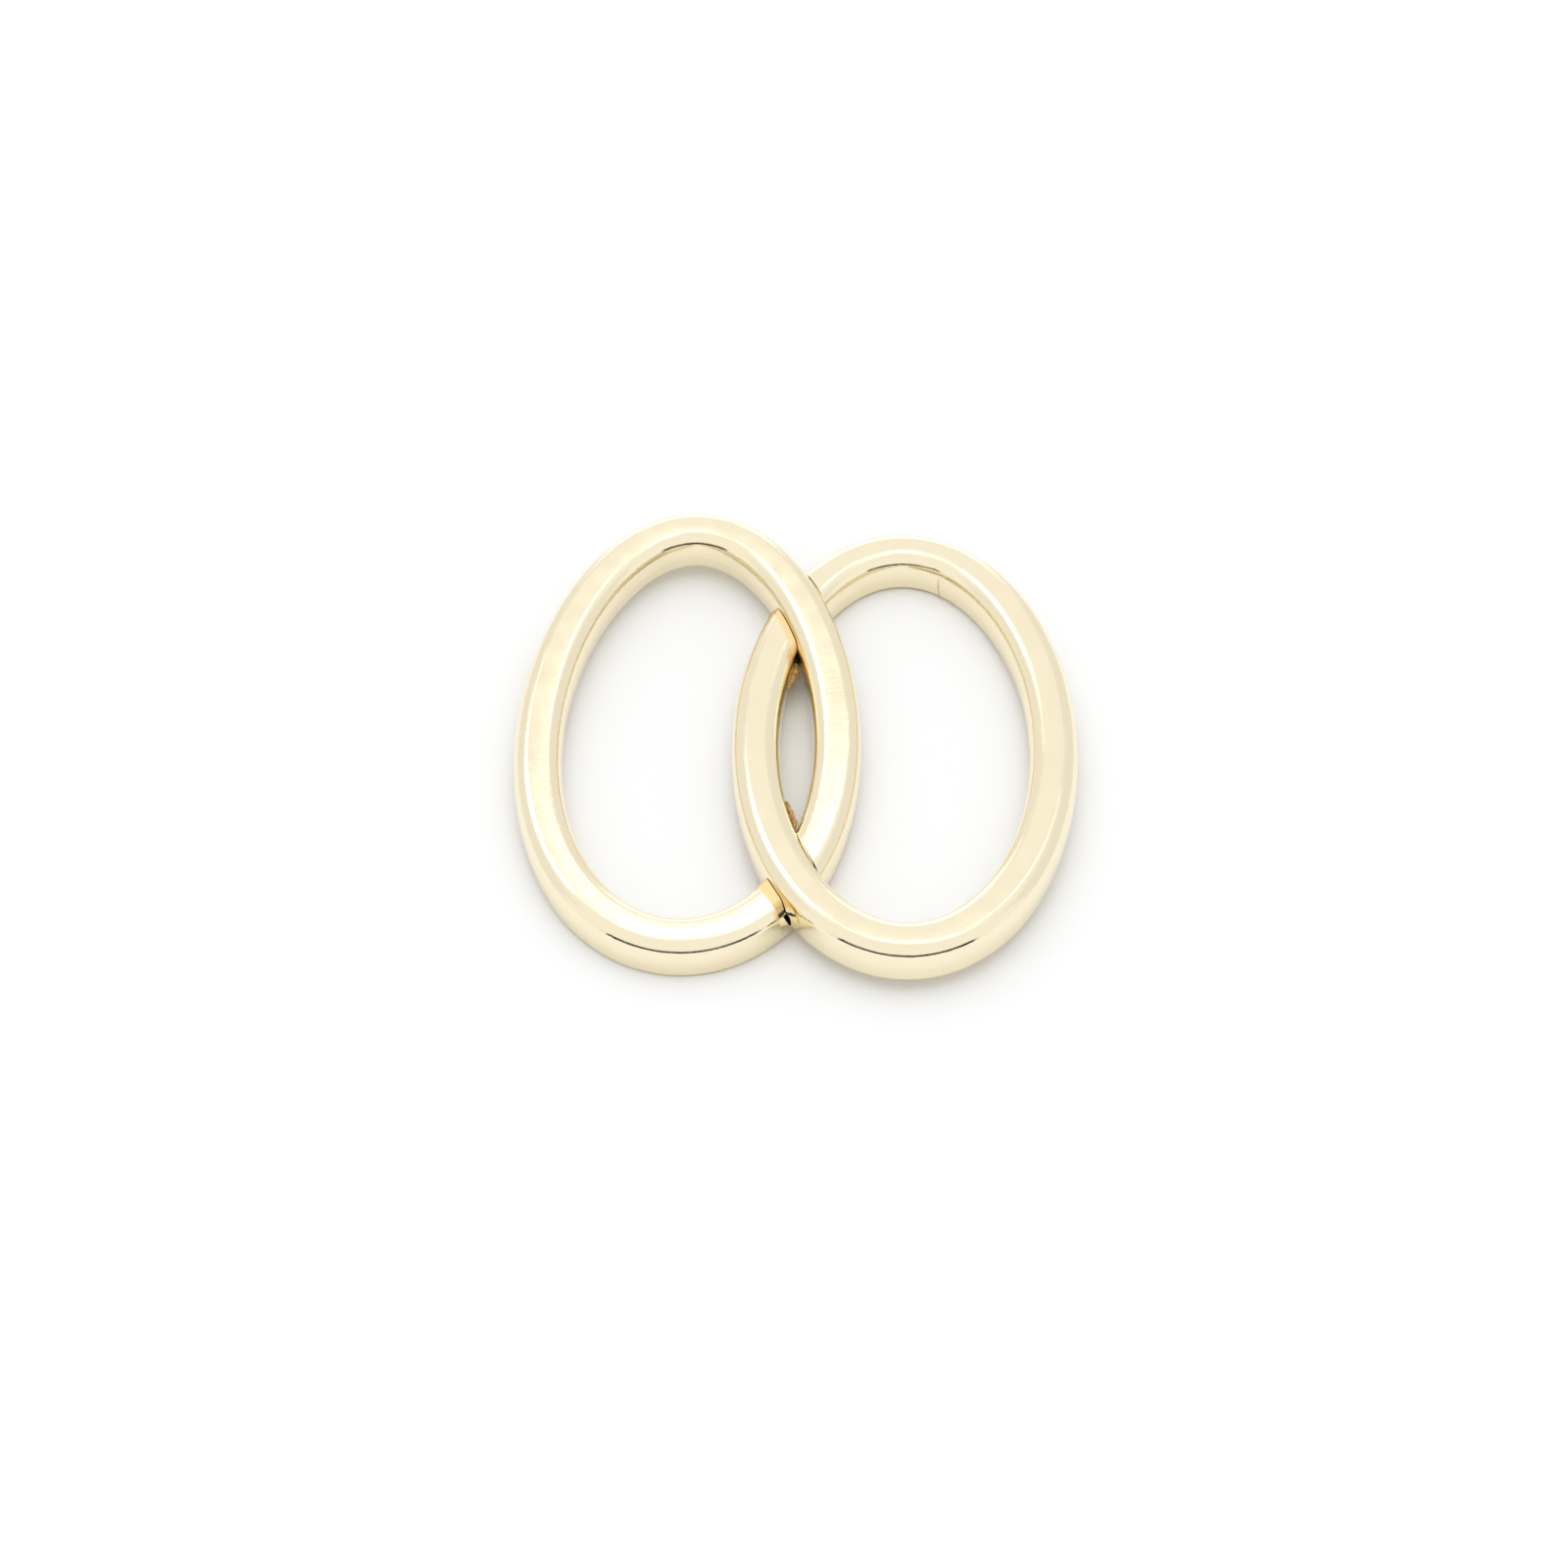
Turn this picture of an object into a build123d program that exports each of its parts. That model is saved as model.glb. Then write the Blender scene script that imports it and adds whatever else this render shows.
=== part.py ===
from build123d import *
from math import atan, cos, degrees, pi, sin, sqrt
import os

# Two oval metal rings, linked through each other and lapped where they cross.
# X runs across the pair, Y along the ovals, and Z up from the surface that the pair lies on.

# Driving dimensions, in millimetres and degrees.
HALF_WIDTH = 13.25  # of each oval, to the middle line of its bar
HALF_LENGTH = 25.0
RING_SPACING = 19.27  # between the centres of the two ovals, across the pair
STAGGER = 1.6  # how much further back the left ring lies
LEAN = 1.43  # each ring rests on the other: the left rises to the back, the right to the front
PATH_POINTS = 24  # on the smooth closed curve of the middle line

BAR_WIDTH = 4.36  # across the bar at its parting line, half way up
BAR_TOP_WIDTH = 3.86
BAR_HEIGHT = 3.9
TOP_CROWN = 0.06  # how much the top face rises to its middle
TOP_ROUNDING = 1.3
SIDE_ROUNDING = 3.0
BOTTOM_ROUNDING = 0.5

LAP_LEVEL = 2.62  # the height of the lap faces, half way through both crossings
LAP_GAP = 0.18  # between the two lap faces, up and down
LAP_CLEARANCE = 0.05  # beside each lapped bar
CROSSING_WIDTH = 14  # the ground that one crossing covers
CROSSING_LENGTH = 20
RELIEF_DEPTH = 0.3  # how much lower the under bar is beside the bar that crosses it
RELIEF_ROUNDING = 0.6
TALL = 20  # more than the height of everything

SEAM_ANGLE = 70  # round the right oval from its right-hand end
SEAM_THICKNESS = 0.2


class Ring:
    """One oval of the pair: its shape, and how it lies."""

    def __init__(self, side, egg, yaw, relief, relief_cut):
        self.side = side  # -1 for the left ring, 1 for the right
        self.egg = egg  # how much wider the oval is towards its near end
        self.relief = relief  # on the other ring, beside this ring's bar: inwards, outwards
        self.relief_cut = relief_cut  # how much narrower this ring's top is in its own relief
        points = [self.point(2 * pi * i / PATH_POINTS) for i in range(PATH_POINTS)]
        self.path = Wire([Spline(points, periodic=True)])
        lying = Rot(X=-side * LEAN) * Rot(Z=yaw)
        lowest = (lying * self.sweep(bar_section())).bounding_box().min.Z
        self.seat = Pos(side * RING_SPACING / 2, -side * STAGGER / 2, -lowest) * lying

    def point(self, angle):
        across = HALF_WIDTH * cos(angle) * (1 - self.egg * sin(angle))
        return Vector(across, HALF_LENGTH * sin(angle), 0)

    def sweep(self, section):
        """Carry a section, drawn outwards and up, round the middle line."""
        return sweep(sections=Pos(HALF_WIDTH, 0, 0) * Plane.XZ * section, path=self.path)

    def bar(self, section):
        return self.seat * self.sweep(section)


def bar_section(lowered=0, outer_cut=0, top_rounding=TOP_ROUNDING):
    """The barrel-sided bar, widest half way up, with a slightly crowned top.

    In a relief its top is lower, cut back on the outer side, and less rounded.
    """
    top = BAR_HEIGHT / 2 - lowered
    shoulder = top - TOP_CROWN
    inner = -BAR_TOP_WIDTH / 2
    outer = BAR_TOP_WIDTH / 2 - outer_cut
    crown = ThreePointArc((inner, shoulder), ((inner + outer) / 2, top), (outer, shoulder))
    sides = Polyline(
        (outer, shoulder),
        (BAR_WIDTH / 2, 0),
        (BAR_TOP_WIDTH / 2, -BAR_HEIGHT / 2),
        (-BAR_TOP_WIDTH / 2, -BAR_HEIGHT / 2),
        (-BAR_WIDTH / 2, 0),
        (inner, shoulder),
    )
    face = make_face([crown, sides])
    for height, rounding in (
        (-BAR_HEIGHT / 2, BOTTOM_ROUNDING),
        (0, SIDE_ROUNDING),
        (shoulder, top_rounding),
    ):
        corners = face.vertices().filter_by_position(Axis.Y, height - 0.001, height + 0.001)
        face = fillet(corners, rounding)
    return face


def strip_section(inward, outward):
    """A tall strip over the bar, reaching past its inner and outer sides."""
    return Pos((outward - inward) / 2, 0) * Rectangle(BAR_WIDTH + inward + outward, TALL)


def lap_section():
    """The barrel sides of a bar with the lap clearance added, carried on far up and down."""
    neck = BAR_TOP_WIDTH / 2 + LAP_CLEARANCE
    belly = BAR_WIDTH / 2 + LAP_CLEARANCE
    right_side = [
        (neck, -TALL / 2),
        (neck, -BAR_HEIGHT / 2),
        (belly, 0),
        (neck, BAR_HEIGHT / 2),
        (neck, TALL / 2),
    ]
    left_side = [(-across, height) for across, height in reversed(right_side)]
    return make_face(Polyline(*right_side, *left_side, close=True))


def crossing_box(end, bottom, top):
    """The space about one crossing, at the back for end 1 and at the front for end -1."""
    along = HALF_LENGTH * sqrt(1 - (RING_SPACING / 2 / HALF_WIDTH) ** 2)
    centre = Pos(0, end * along, (bottom + top) / 2)
    return centre * Box(CROSSING_WIDTH, CROSSING_LENGTH, top - bottom)


def cross(under, over, under_shape, over_shape, end):
    """Lap two rings where one crosses over the other, with a relief beside the upper bar."""
    relief = over.bar(strip_section(*over.relief)) & crossing_box(end, -TALL / 2, TALL / 2)
    low_bar = under.bar(bar_section(RELIEF_DEPTH, under.relief_cut, RELIEF_ROUNDING))
    under_shape = (under_shape - relief) + (low_bar & relief)
    over_sides = over.bar(lap_section())
    under_sides = under.bar(lap_section())
    under_pocket = over_sides & crossing_box(end, LAP_LEVEL - LAP_GAP / 2, TALL / 2)
    over_pocket = under_sides & crossing_box(end, -TALL / 2, LAP_LEVEL + LAP_GAP / 2)
    return under_shape - under_pocket, over_shape - over_pocket


def seam_slab(ring):
    """The saw cut through which the ring was opened, square to the bar."""
    angle = SEAM_ANGLE * pi / 180
    ahead = ring.point(angle + 0.01) - ring.point(angle - 0.01)
    turn = degrees(atan(-ahead.X / ahead.Y))
    cut = Rot(Z=turn) * Box(2 * BAR_WIDTH, SEAM_THICKNESS, 2 * BAR_HEIGHT)
    return ring.seat * Pos(ring.point(angle)) * cut


def build():
    left = Ring(side=-1, egg=0.085, yaw=-1.1, relief=(0.65, 0), relief_cut=1.1)
    right = Ring(side=1, egg=0.014, yaw=-0.75, relief=(0, 1.1), relief_cut=0.35)
    left_ring = left.bar(bar_section())
    right_ring = right.bar(bar_section())
    right_ring, left_ring = cross(right, left, right_ring, left_ring, end=1)
    left_ring, right_ring = cross(left, right, left_ring, right_ring, end=-1)
    slab = seam_slab(right)
    parts = {
        "left_ring": left_ring,
        "right_ring": right_ring - slab,
        "right_ring_solder_seam": right_ring & slab,
    }
    box = Compound(children=list(parts.values())).bounding_box()
    to_origin = Pos(-box.center().X, -box.center().Y, -box.min.Z)
    return {name: (to_origin * shape).solid() for name, shape in parts.items()}


os.makedirs("parts", exist_ok=True)
for name, shape in build().items():
    export_step(shape, f"parts/{name}.step")
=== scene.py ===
"""Two linked oval rings in polished pale gold, seen from the front and above."""

import math
import random

import bmesh
import bpy
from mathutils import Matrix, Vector, noise
from mathutils.bvhtree import BVHTree


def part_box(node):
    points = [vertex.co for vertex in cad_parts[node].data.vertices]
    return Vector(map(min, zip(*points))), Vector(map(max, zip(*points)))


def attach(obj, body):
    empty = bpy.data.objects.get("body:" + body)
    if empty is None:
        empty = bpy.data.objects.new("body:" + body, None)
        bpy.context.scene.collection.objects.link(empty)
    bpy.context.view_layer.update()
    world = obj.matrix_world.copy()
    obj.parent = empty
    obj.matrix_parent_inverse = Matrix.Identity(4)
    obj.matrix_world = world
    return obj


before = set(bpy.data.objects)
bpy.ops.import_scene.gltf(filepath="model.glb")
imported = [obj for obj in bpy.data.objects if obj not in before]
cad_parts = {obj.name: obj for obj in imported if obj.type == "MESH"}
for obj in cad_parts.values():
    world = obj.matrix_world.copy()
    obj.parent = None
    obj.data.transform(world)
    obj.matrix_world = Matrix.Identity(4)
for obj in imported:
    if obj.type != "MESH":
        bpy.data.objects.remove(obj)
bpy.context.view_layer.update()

MM = 0.001

# The camera looks down on the near ends of the ovals from this far away.
CAMERA_ELEVATION = math.radians(45.8)
CAMERA_DISTANCE = 0.395
PICTURE_WIDTH = 0.1398  # what the picture takes in at that distance
PICTURE_MIDDLE = Vector((-1.065, -3.0, 0)) * MM
SENSOR_WIDTH = 36

# Linear colours.
PALE_GOLD = (0.965, 0.865, 0.63, 1)
DEEP_GOLD = (0.90, 0.67, 0.34, 1)
SOLDER_BROWN = (0.55, 0.33, 0.14, 1)
RESIDUE_BROWN = (0.30, 0.14, 0.05, 1)
RESIDUE_AMBER = (0.68, 0.42, 0.14, 1)
PAPER_WHITE = (0.955, 0.965, 0.98, 1)

# The studio.
FLOOR_SIZE = 3
TENT_GLOW = 0.97  # what the metal sees between the panels, and the camera everywhere
PAPER_GLOW_LOW = 0.82  # what lights the paper and the residue from the sides of the tent
PAPER_GLOW_HIGH = 1.95  # and from overhead
PAPER_GLOW_RISE = (45, 82)  # the elevations in degrees between which it grows

# The plating's relief: how far apart its bumps are, and how high.
GRAIN_SPACING = 0.22 * MM
GRAIN_HEIGHT = 0.0032 * MM
POLISH_SPACING = 0.2 * MM
POLISH_HEIGHT = 0.0034 * MM
POLISH_LENGTH = 9  # how many times longer a polishing mark is than it is wide
WAVE_SPACING = 5 * MM
WAVE_HEIGHT = 0.006 * MM
PIT_SPACING = 0.25 * MM  # the pits are in the rough reliefs only
PIT_HEIGHT = 0.03 * MM

# How rough the gold is: well polished, less well in cloudy patches, and rough in the reliefs.
CLOUD_SPACING = 2.5 * MM
POLISHED_ROUGHNESS = 0.09
CLOUDED_ROUGHNESS = 0.16
RELIEF_ROUGHNESS = 0.36

# The solder seam is dull on its walls below one height and bright on top above another.
SOLDER_DULL_BELOW = 2.2 * MM
SOLDER_BRIGHT_ABOVE = 2.9 * MM
SOLDER_GRAIN_SPACING = 0.3 * MM
SOLDER_BRIGHT_ROUGHNESS = 0.1
SOLDER_DULL_ROUGHNESS = 0.5

BAR_HALF_WIDTH = 2.18 * MM
RELIEF_REACH = 1.3 * MM  # how far beside the upper bar the gold is rough, past the whole relief
RELIEF_DEPTH = 0.3 * MM  # how much lower than the bar's top a relief is

NARROWEST_GAP = 0.25 * MM  # where the window between the rings counts as closed
WINDOW_STEP = 0.05 * MM
WINDOW_FOLLOW_STEPS = 40  # from the window's widest part to any place in it

# The residue: crusts on the right ring's wall, each a row of sections from the corner outwards.
RESIDUE_STATIONS = 12
RESIDUE_CLEARANCE = 0.16 * MM  # kept from the left ring, so that the left ring stays free to move
RESIDUE_ROOT = 0.06 * MM  # how deep the residue's root sits in the wall
RESIDUE_LUMP_SPACING = 0.35 * MM
RESIDUE_LUMP_HEIGHT = 0.06 * MM
RESIDUE_SPECK_SPACING = 0.15 * MM
CRUST_LUMP_SPACING = 0.2 * MM
CRUST_LUMP_HEIGHT = 0.05 * MM

# Round a crust's section: the share of its reach from the wall, and of its half thickness.
CRUST_SECTION = ((0, 1), (0.6, 1), (1, 0.3), (1, -0.3), (0.6, -1), (0, -1))


# ---------------------------------------------------------------- node helpers


def add_node(tree, kind, inputs=None, **settings):
    """Add a node, with sockets set to plain values or linked to other nodes' outputs."""
    node = tree.nodes.new(kind)
    for name, value in settings.items():
        setattr(node, name, value)
    for name, value in (inputs or {}).items():
        connect(tree, value, node.inputs[name])
    return node


def connect(tree, value, socket):
    if isinstance(value, bpy.types.NodeSocket):
        tree.links.new(value, socket)
    else:
        socket.default_value = value


def calculate(tree, operation, *values):
    node = tree.nodes.new("ShaderNodeMath")
    node.operation = operation
    for value, socket in zip(values, node.inputs):
        connect(tree, value, socket)
    return node.outputs["Value"]


def calculate_vector(tree, operation, *values):
    node = tree.nodes.new("ShaderNodeVectorMath")
    node.operation = operation
    for value, socket in zip(values, node.inputs):
        connect(tree, value, socket)
    return node.outputs["Value" if operation == "LENGTH" else "Vector"]


def smooth_step(tree, value, start, end, low=0.0, high=1.0):
    """Turn a value smoothly from low at start to high at end."""
    inputs = {"Value": value, "From Min": start, "From Max": end, "To Min": low, "To Max": high}
    node = add_node(tree, "ShaderNodeMapRange", inputs, interpolation_type="SMOOTHSTEP")
    return node.outputs["Result"]


def blend_values(tree, share, first, second):
    node = add_node(tree, "ShaderNodeMix", {"Factor": share}, data_type="FLOAT")
    connect(tree, first, node.inputs["A"])
    connect(tree, second, node.inputs["B"])
    return node.outputs["Result"]


def blend_colours(tree, share, first, second):
    node = add_node(tree, "ShaderNodeMix", {"Factor": share}, data_type="RGBA")
    for value, socket in ((first, node.inputs[6]), (second, node.inputs[7])):
        connect(tree, value, socket)
    return node.outputs[2]


def noise_value(tree, vector, spacing, detail=2.0, roughness=0.5):
    """Noise from 0 to 1 whose bumps are about this far apart."""
    inputs = {"Vector": vector, "Scale": 1 / spacing, "Detail": detail, "Roughness": roughness}
    return add_node(tree, "ShaderNodeTexNoise", inputs).outputs["Fac"]


def object_position(tree):
    return add_node(tree, "ShaderNodeTexCoord").outputs["Object"]


def split(tree, vector):
    """The X, Y and Z outputs of a vector, by name."""
    return add_node(tree, "ShaderNodeSeparateXYZ", {"Vector": vector}).outputs


def new_material(name):
    material = bpy.data.materials.new(name)
    material.use_nodes = True
    return material, material.node_tree, material.node_tree.nodes["Principled BSDF"]


def finish_surface(tree, shader, colour, roughness, height):
    """Set a shader's colour and roughness, and raise its surface by a height in metres."""
    bump = add_node(tree, "ShaderNodeBump", {"Height": height, "Distance": 1.0, "Strength": 1.0})
    connect(tree, colour, shader.inputs["Base Color"])
    connect(tree, roughness, shader.inputs["Roughness"])
    connect(tree, bump.outputs["Normal"], shader.inputs["Normal"])


# ---------------------------------------------------------------- camera and studio


def aim(thing, target):
    direction = target - thing.location
    thing.rotation_euler = direction.to_track_quat("-Z", "Y").to_euler()


def add_camera():
    camera = bpy.data.objects.new("camera", bpy.data.cameras.new("camera"))
    camera.data.sensor_width = SENSOR_WIDTH
    camera.data.lens = SENSOR_WIDTH * CAMERA_DISTANCE / PICTURE_WIDTH
    camera.data.clip_start = 0.01
    away = Vector((0, -math.cos(CAMERA_ELEVATION), math.sin(CAMERA_ELEVATION)))
    camera.location = PICTURE_MIDDLE + CAMERA_DISTANCE * away
    aim(camera, PICTURE_MIDDLE)
    bpy.context.scene.collection.objects.link(camera)
    bpy.context.scene.camera = camera


class Tent:
    """A white light tent as a world: an even glow with soft brighter and darker panels.

    A panel's azimuth is in degrees to the right of straight back, +Y, and its elevation is
    above the table.
    """

    def __init__(self, tree, glow):
        self.tree = tree
        direction = add_node(tree, "ShaderNodeTexCoord").outputs["Generated"]
        parts = split(tree, direction)
        azimuth = calculate(tree, "ARCTAN2", parts["X"], parts["Y"])
        elevation = calculate(tree, "ARCSINE", parts["Z"])
        self.azimuth = calculate(tree, "DEGREES", azimuth)
        self.elevation = calculate(tree, "DEGREES", elevation)
        self.level = glow

    def panel(self, brightness, azimuth, elevation, width, height, edge):
        """Blend in a panel that fades over edge degrees at its rim."""
        tree = self.tree
        across = calculate(tree, "ABSOLUTE", calculate(tree, "SUBTRACT", self.azimuth, azimuth))
        across = calculate(tree, "MINIMUM", across, calculate(tree, "SUBTRACT", 360, across))
        up = calculate(tree, "ABSOLUTE", calculate(tree, "SUBTRACT", self.elevation, elevation))
        inside = 1.0
        for distance, size in ((across, width), (up, height)):
            fade = smooth_step(tree, distance, (size - edge) / 2, (size + edge) / 2, 1.0, 0.0)
            inside = calculate(tree, "MULTIPLY", inside, fade)
        self.level = blend_values(tree, inside, self.level, brightness)


def add_studio_light():
    """Light the metal by the tent's panels, and the paper by an even glow from overhead."""
    world = bpy.data.worlds.new("studio")
    bpy.context.scene.world = world
    world.use_nodes = True
    tree = world.node_tree
    tent = Tent(tree, glow=TENT_GLOW)
    tent.panel(0.88, azimuth=-50, elevation=20, width=76, height=48, edge=14)  # shaded left side
    tent.panel(0.86, azimuth=46, elevation=20, width=72, height=48, edge=14)  # shaded right side
    tent.panel(1.5, azimuth=-2, elevation=12, width=34, height=30, edge=8)  # low light behind
    tent.panel(2.3, azimuth=1.5, elevation=54, width=12, height=9, edge=2)  # back softbox
    tent.panel(2.2, azimuth=-27, elevation=49, width=26, height=14, edge=4)  # left softbox
    tent.panel(1.6, azimuth=19, elevation=50, width=13, height=11, edge=4)  # right softbox
    tent.panel(1.5, azimuth=10, elevation=68, width=80, height=14, edge=4)  # overhead softbox
    tent.panel(0.03, azimuth=180, elevation=4, width=120, height=22, edge=3)  # dark front gap
    glow_range = (PAPER_GLOW_LOW, PAPER_GLOW_HIGH)
    overhead = smooth_step(tree, tent.elevation, *PAPER_GLOW_RISE, *glow_range)
    path = add_node(tree, "ShaderNodeLightPath").outputs
    strength = blend_values(tree, path["Is Diffuse Ray"], tent.level, overhead)
    strength = blend_values(tree, path["Is Camera Ray"], strength, TENT_GLOW)
    background = tree.nodes["Background"]
    background.inputs["Color"].default_value = (1, 1, 1, 1)
    connect(tree, strength, background.inputs["Strength"])


def add_floor():
    bpy.ops.mesh.primitive_plane_add(size=FLOOR_SIZE)
    floor = bpy.context.object
    floor.name = "floor"
    material, _, shader = new_material("white_paper")
    shader.inputs["Base Color"].default_value = PAPER_WHITE
    shader.inputs["Roughness"].default_value = 0.8
    shader.inputs["Specular IOR Level"].default_value = 0.1
    floor.data.materials.append(material)


# ---------------------------------------------------------------- metal


def ring_oval(node):
    """The centre and the two half sizes of a ring's middle line."""
    low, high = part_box(node)
    centre = (low + high) / 2
    return Vector((centre.x, centre.y, 0)), (high - low) / 2 - Vector((1, 1, 0)) * BAR_HALF_WIDTH


def oval_coordinates(tree, position, node):
    """Where a point is on a ring: its direction from the centre, and 1 on the middle line."""
    centre, half = ring_oval(node)
    flat = calculate_vector(tree, "MULTIPLY", position, (1, 1, 0))
    offset = calculate_vector(tree, "SUBTRACT", flat, centre)
    scaled = calculate_vector(tree, "DIVIDE", offset, (half.x, half.y, 1))
    return scaled, calculate_vector(tree, "LENGTH", scaled)


def polish_marks(tree, position, node):
    """Fine marks that run across the bar, as a polishing wheel leaves them."""
    half = ring_oval(node)[1]
    radius = (half.x + half.y) / 2
    scaled, ratio = oval_coordinates(tree, position, node)
    along = calculate_vector(tree, "NORMALIZE", scaled)
    along = calculate_vector(tree, "MULTIPLY", along, (radius, radius, 0))
    height = split(tree, position)["Z"]
    across = calculate(tree, "MULTIPLY", ratio, radius)
    across = calculate(tree, "ADD", across, height)
    across = calculate(tree, "DIVIDE", across, POLISH_LENGTH)
    vector = add_node(tree, "ShaderNodeCombineXYZ", {"Z": across}).outputs["Vector"]
    vector = calculate_vector(tree, "ADD", along, vector)
    return noise_value(tree, vector, POLISH_SPACING, detail=3)


def distance_beside(tree, position, node, side):
    """How far a point is beside a ring's bar, to first order.

    The side is 1 outside the oval and -1 inside it. The distance is negative under the bar.
    """
    half = ring_oval(node)[1]
    scaled, ratio = oval_coordinates(tree, position, node)
    slope = calculate_vector(tree, "DIVIDE", scaled, (half.x, half.y, 1))
    slope = calculate_vector(tree, "LENGTH", slope)
    off_middle = calculate(tree, "SUBTRACT", ratio, 1)
    off_middle = calculate(tree, "DIVIDE", calculate(tree, "MULTIPLY", off_middle, ratio), slope)
    return calculate(tree, "MULTIPLY_ADD", off_middle, side, -BAR_HALF_WIDTH)


def top_heights(node):
    """The highest points of a ring's near and far ends."""
    low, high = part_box(node)
    reach = 2 * MM
    points = [vertex.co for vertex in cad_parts[node].data.vertices]
    near = max(point.z for point in points if point.y < low.y + reach)
    far = max(point.z for point in points if point.y > high.y - reach)
    return near, far


def relief_share(tree, position, node, crossing_node, side, end):
    """1 in the rough relief beside the bar that crosses over this ring, else 0."""
    low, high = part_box(node)
    near, far = top_heights(node)
    parts = split(tree, position)
    lean = (far - near) / (high.y - low.y)
    top = calculate(tree, "MULTIPLY_ADD", parts["Y"], lean, near - low.y * lean)
    depth = calculate(tree, "SUBTRACT", top, parts["Z"])
    beside = distance_beside(tree, position, crossing_node, side)
    below = smooth_step(tree, depth, RELIEF_DEPTH / 2, RELIEF_DEPTH * 0.8)
    above_walls = smooth_step(tree, depth, RELIEF_DEPTH * 2, RELIEF_DEPTH * 4, 1.0, 0.0)
    near_bar = smooth_step(tree, beside, RELIEF_REACH, RELIEF_REACH * 1.4, 1.0, 0.0)
    this_side = smooth_step(tree, beside, -RELIEF_REACH, -RELIEF_REACH / 2)
    share = calculate(tree, "GREATER_THAN", calculate(tree, "MULTIPLY", parts["Y"], end), 0)
    for limit in (below, above_walls, near_bar, this_side):
        share = calculate(tree, "MULTIPLY", share, limit)
    return share


def metal_bump(tree, position, node, roughened):
    """The plating's relief in metres: broad waves, fine grain, polishing marks, rough reliefs."""
    layers = (
        (noise_value(tree, position, WAVE_SPACING, detail=1), WAVE_HEIGHT),
        (noise_value(tree, position, GRAIN_SPACING, detail=3), GRAIN_HEIGHT),
        (polish_marks(tree, position, node), POLISH_HEIGHT),
    )
    height = 0.0
    for layer, size in layers:
        height = calculate(tree, "MULTIPLY_ADD", layer, size, height)
    pits = noise_value(tree, position, PIT_SPACING, detail=4, roughness=0.7)
    pits = calculate(tree, "MULTIPLY", pits, roughened)
    return calculate(tree, "MULTIPLY_ADD", pits, PIT_HEIGHT, height)


def gold_material(node, crossing_node, side, end):
    """Polished pale gold plating with deeper gold where the wheel didn't reach."""
    material, tree, shader = new_material("pale_gold_" + node)
    position = object_position(tree)
    relief = relief_share(tree, position, node, crossing_node, side, end)
    clouds = noise_value(tree, position, CLOUD_SPACING, detail=3)
    colour = blend_colours(tree, relief, PALE_GOLD, DEEP_GOLD)
    polished = smooth_step(tree, clouds, 0.3, 0.7, POLISHED_ROUGHNESS, CLOUDED_ROUGHNESS)
    roughness = blend_values(tree, relief, polished, RELIEF_ROUGHNESS)
    finish_surface(tree, shader, colour, roughness, metal_bump(tree, position, node, relief))
    shader.inputs["Metallic"].default_value = 1
    return material


def solder_material():
    """The thin line of solder: polished and plated like the bar on top, duller down its walls."""
    material, tree, shader = new_material("plated_solder")
    position = object_position(tree)
    height = split(tree, position)["Z"]
    grain = noise_value(tree, position, SOLDER_GRAIN_SPACING, detail=4, roughness=0.6)
    dull = smooth_step(tree, height, SOLDER_DULL_BELOW, SOLDER_BRIGHT_ABOVE, 1.0, 0.0)
    dull = calculate(tree, "MULTIPLY", dull, grain)
    colour = blend_colours(tree, dull, PALE_GOLD, SOLDER_BROWN)
    roughness = blend_values(tree, dull, SOLDER_BRIGHT_ROUGHNESS, SOLDER_DULL_ROUGHNESS)
    relief = metal_bump(tree, position, "right_ring", dull)
    finish_surface(tree, shader, colour, roughness, relief)
    shader.inputs["Metallic"].default_value = 1
    return material


def residue_material():
    """Dried polishing compound and plating flash: brown, with amber and gold specks."""
    material, tree, shader = new_material("polishing_residue")
    position = object_position(tree)
    lumps = noise_value(tree, position, RESIDUE_LUMP_SPACING, detail=4, roughness=0.7)
    specks = noise_value(tree, position, RESIDUE_SPECK_SPACING, detail=2)
    colour = blend_colours(tree, smooth_step(tree, lumps, 0.4, 0.62), RESIDUE_BROWN, RESIDUE_AMBER)
    roughness = smooth_step(tree, lumps, 0.3, 0.7, 0.6, 0.3)
    height = calculate(tree, "MULTIPLY", lumps, RESIDUE_LUMP_HEIGHT)
    finish_surface(tree, shader, colour, roughness, height)
    connect(tree, smooth_step(tree, specks, 0.55, 0.65), shader.inputs["Metallic"])
    return material


def paint(node, material):
    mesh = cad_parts[node].data
    mesh.materials.clear()
    mesh.materials.append(material)


# ---------------------------------------------------------------- residue in the corners


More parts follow.
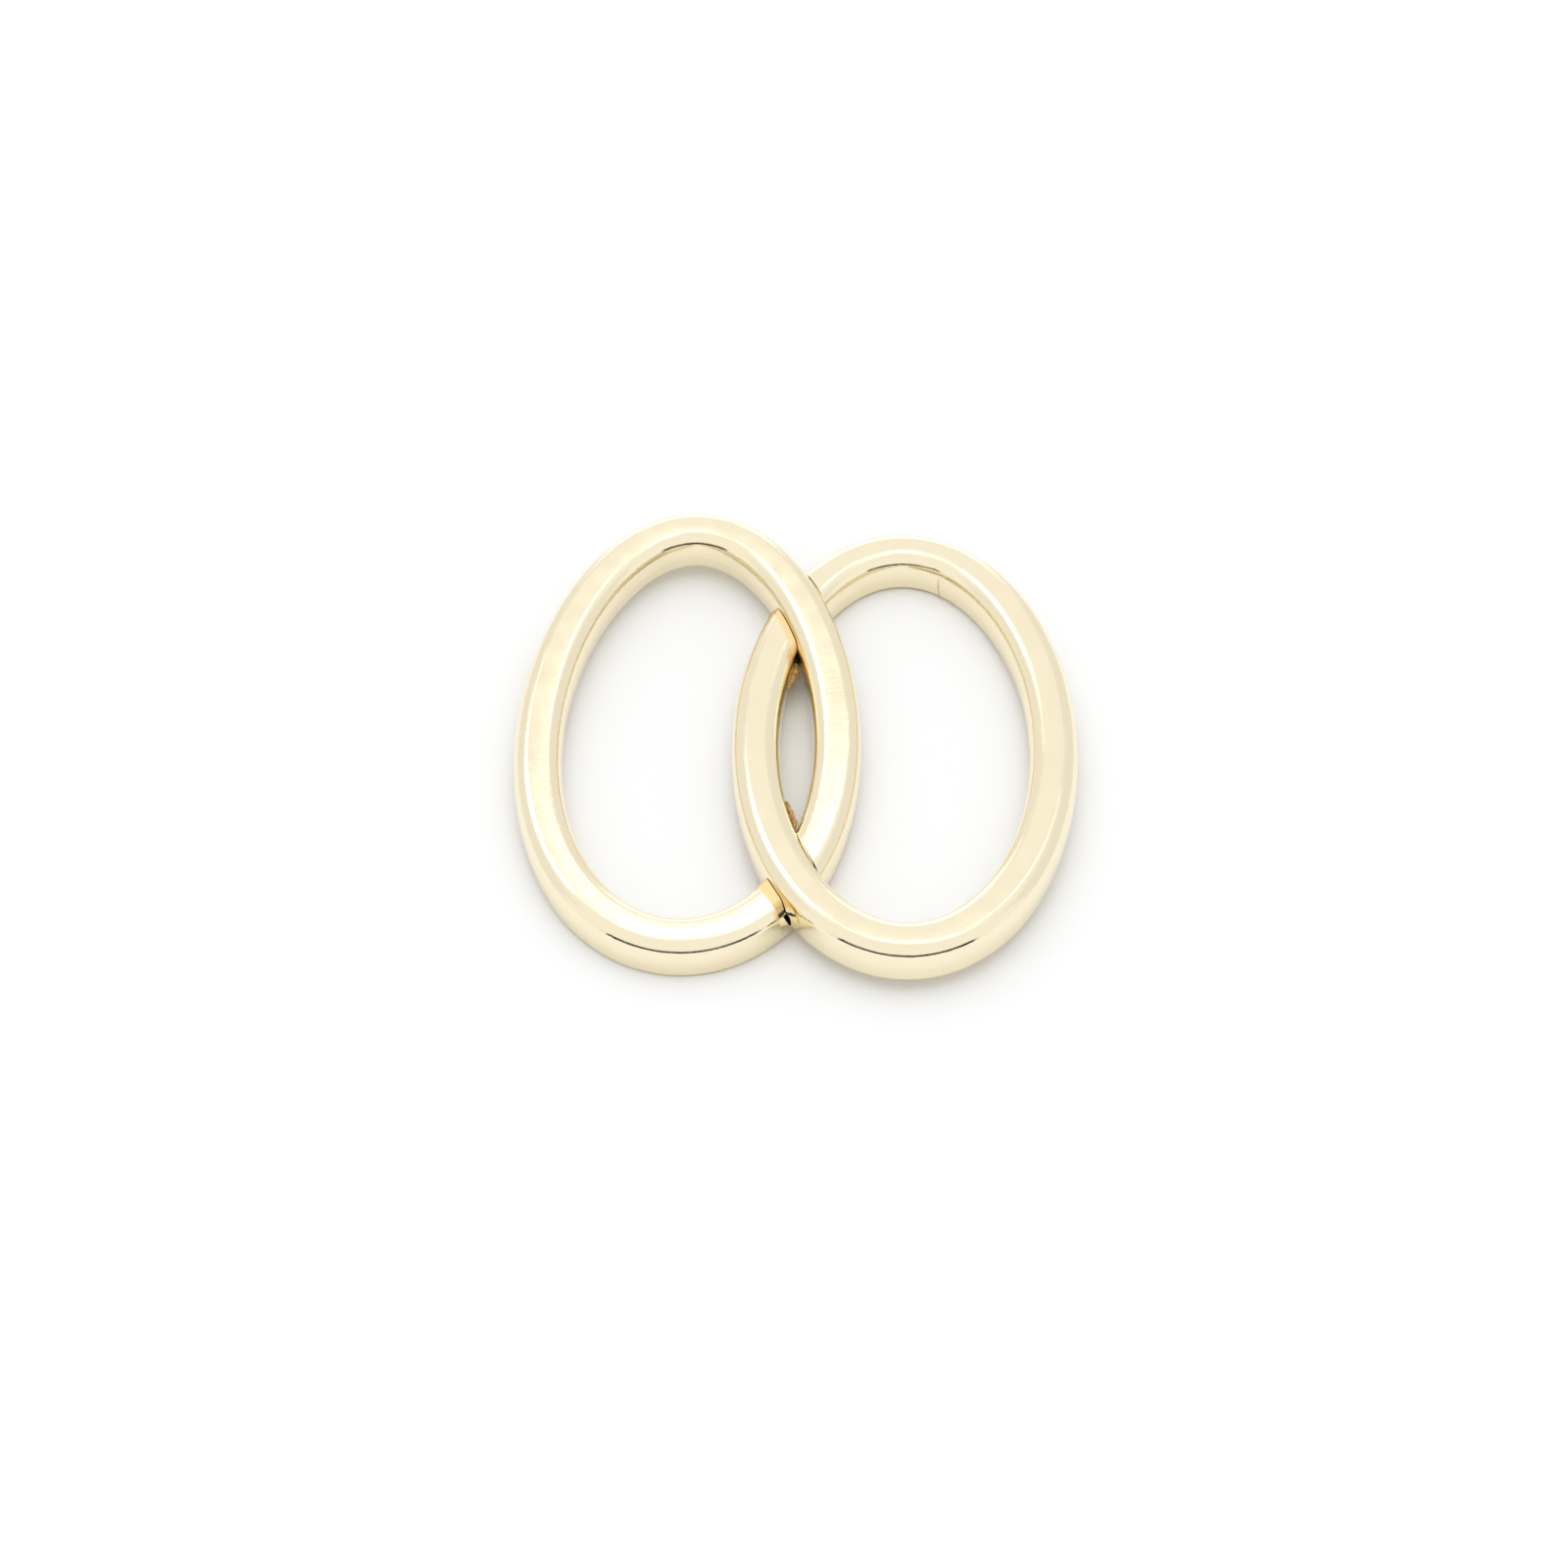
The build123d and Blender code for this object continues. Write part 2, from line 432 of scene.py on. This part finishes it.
class Window:
    """The narrow window between the two rings' inner walls, at one height."""

    def __init__(self, height):
        self.height = height
        self.walls = [self.surface("right_ring"), self.surface("left_ring")]
        self.middle = self.between(0, 0)[2]

    def surface(self, node):
        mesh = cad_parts[node].data
        points = [vertex.co for vertex in mesh.vertices]
        return BVHTree.FromPolygons(points, [tuple(face.vertices) for face in mesh.polygons])

    def between(self, x, y):
        """The wall on the left (the right ring's), the wall on the right, and their middle."""
        start = Vector((x, y, self.height))
        left = self.walls[0].ray_cast(start, Vector((-1, 0, 0)))[0]
        right = self.walls[1].ray_cast(start, Vector((1, 0, 0)))[0]
        return left.x, right.x, (left.x + right.x) / 2

    def corner(self, end):
        """How far back (end 1) or forward (end -1) the window reaches."""
        x, y = self.middle, 0
        while True:
            left, right, x = self.between(x, y)
            if right - left < NARROWEST_GAP:
                return y
            y += end * WINDOW_STEP

    def walls_towards(self, end, start, stop, count):
        """The two walls at some places, given as distances short of the corner."""
        corner = self.corner(end)
        found = []
        for step in range(count):
            y = corner - end * (start + (stop - start) * step / (count - 1))
            x = self.middle_at(y)
            left, right, _ = self.between(x, y)
            found.append((y, left, right))
        return found

    def middle_at(self, target):
        """The window's middle at a place, followed there from its widest part."""
        x = self.middle
        for step in range(WINDOW_FOLLOW_STEPS + 1):
            x = self.between(x, target * step / WINDOW_FOLLOW_STEPS)[2]
        return x


def add_residue(name, end, length, width, thickness, height, seed):
    """A ragged crust that sits on the right ring's wall in one corner of the window.

    It fills the corner, leaving the left ring free to move, and thins out away from it.
    """
    random.seed(seed)
    window = Window(height)
    stations = window.walls_towards(end, 0, length, RESIDUE_STATIONS)
    mesh = bmesh.new()
    rows = []
    for index, (y, left, right) in enumerate(stations):
        fade = 1 - (index / (RESIDUE_STATIONS - 1)) ** 2
        reach = width * fade * random.uniform(0.6, 1.3) + RESIDUE_ROOT
        free = min(left + reach, right - RESIDUE_CLEARANCE)
        half = thickness / 2 * random.uniform(0.6, 1.2) * (0.4 + 0.6 * fade)
        lift = thickness * random.uniform(-0.3, 0.3)
        section = []
        for share, side in CRUST_SECTION:
            x = left - RESIDUE_ROOT + share * (free - left + RESIDUE_ROOT)
            section.append(mesh.verts.new((x, y, height + lift + side * half)))
        rows.append(section)
    for first, second in zip(rows, rows[1:]):
        for a in range(len(CRUST_SECTION)):
            b = (a + 1) % len(CRUST_SECTION)
            mesh.faces.new((first[a], first[b], second[b], second[a]))
    mesh.faces.new(rows[0])
    mesh.faces.new(reversed(rows[-1]))
    bmesh.ops.recalc_face_normals(mesh, faces=mesh.faces)
    finish_crust(name, mesh)


def finish_crust(name, mesh):
    """Round a coarse crust, roughen it, and make it an object that moves with the right ring."""
    data = bpy.data.meshes.new(name)
    mesh.to_mesh(data)
    mesh.free()
    crust = bpy.data.objects.new(name, data)
    bpy.context.scene.collection.objects.link(crust)
    rounder = crust.modifiers.new("rounder", "SUBSURF")
    rounder.levels = rounder.render_levels = 2
    bpy.context.view_layer.objects.active = crust
    bpy.ops.object.modifier_apply(modifier=rounder.name)
    for vertex in crust.data.vertices:
        push = noise.noise(vertex.co / CRUST_LUMP_SPACING) * CRUST_LUMP_HEIGHT
        vertex.co += vertex.normal * push
    crust.data.materials.append(residue_material())
    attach(crust, "right_ring_body")


# ---------------------------------------------------------------- making

add_camera()
add_studio_light()
add_floor()
paint("left_ring", gold_material("left_ring", "right_ring", side=1, end=-1))
paint("right_ring", gold_material("right_ring", "left_ring", side=-1, end=1))
paint("right_ring_solder_seam", solder_material())
add_residue("back_corner_residue", 1, 3.4 * MM, 0.6 * MM, 0.6 * MM, 2.4 * MM, seed=3)
add_residue("front_corner_residue", -1, 3.4 * MM, 0.7 * MM, 1.1 * MM, 3.5 * MM, seed=8)
bpy.context.scene.view_settings.view_transform = "Standard"
